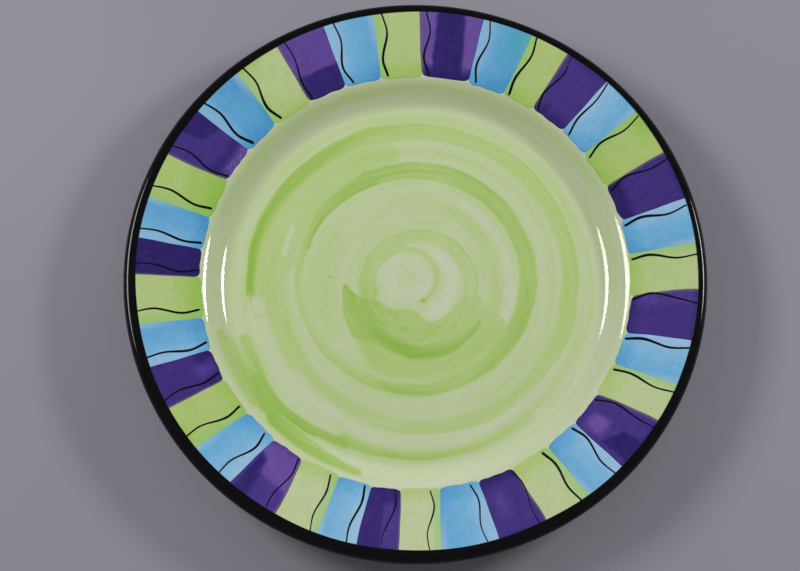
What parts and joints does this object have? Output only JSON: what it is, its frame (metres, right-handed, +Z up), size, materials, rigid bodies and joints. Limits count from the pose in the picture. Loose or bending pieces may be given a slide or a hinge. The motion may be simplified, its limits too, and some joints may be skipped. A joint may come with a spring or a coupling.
{
  "type": "dinner plate",
  "caption": "Round ceramic dinner plate with a wide rising rim painted in coloured strokes, a black edge, a shallow green well and a foot ring, for serving food.",
  "frame": {"origin": "on the plate's axis, in the plane of the foot ring's flat face", "axes": "+Z up along the plate's axis, with the food side up; +Y towards the top of the painted pattern, and +X to the right of it"},
  "size_m": [0.2698, 0.2698, 0.0235],
  "materials": {
    "fired_clay": "bare fired buff clay, seen only on the foot ring",
    "black_band": "thick glossy black, brushed round the lip",
    "purple": "brushed violet under clear gloss, darker where strokes overlap and at the inner end",
    "blue": "thin brushed sky blue under clear gloss",
    "green": "thin brushed leaf green under clear gloss",
    "well_green": "pale green wash with darker green rings brushed in one swirl, under clear gloss",
    "back_glaze": "pale off-white gloss glaze"
  },
  "bodies": {
    "root": {"plate_body": "fired_clay", "rim_band": "black_band", "well_wash": "well_green", "back_glaze_outer": "back_glaze", "back_glaze_inner": "back_glaze", "stroke_01_purple": "purple", "stroke_02_blue": "blue", "stroke_03_green": "green", "stroke_04_purple": "purple", "stroke_05_blue": "blue", "stroke_06_green": "green", "stroke_07_purple": "purple", "stroke_08_blue": "blue", "stroke_09_green": "green", "stroke_10_purple": "purple", "stroke_11_blue": "blue", "stroke_12_green": "green", "stroke_13_purple": "purple", "stroke_14_blue": "blue", "stroke_15_green": "green", "stroke_16_purple": "purple", "stroke_17_blue": "blue", "stroke_18_green": "green", "stroke_19_purple": "purple", "stroke_20_blue": "blue", "stroke_21_green": "green", "stroke_22_purple": "purple", "stroke_23_blue": "blue", "stroke_24_green": "green", "stroke_25_purple": "purple", "stroke_26_blue": "blue", "stroke_27_green": "green", "stroke_28_purple": "purple", "stroke_29_blue": "blue", "stroke_30_green": "green", "stroke_31_purple": "purple", "stroke_32_blue": "blue", "stroke_33_green": "green", "stroke_34_purple": "purple", "stroke_35_blue": "blue", "stroke_36_green": "green"}
  },
  "joints": []
}
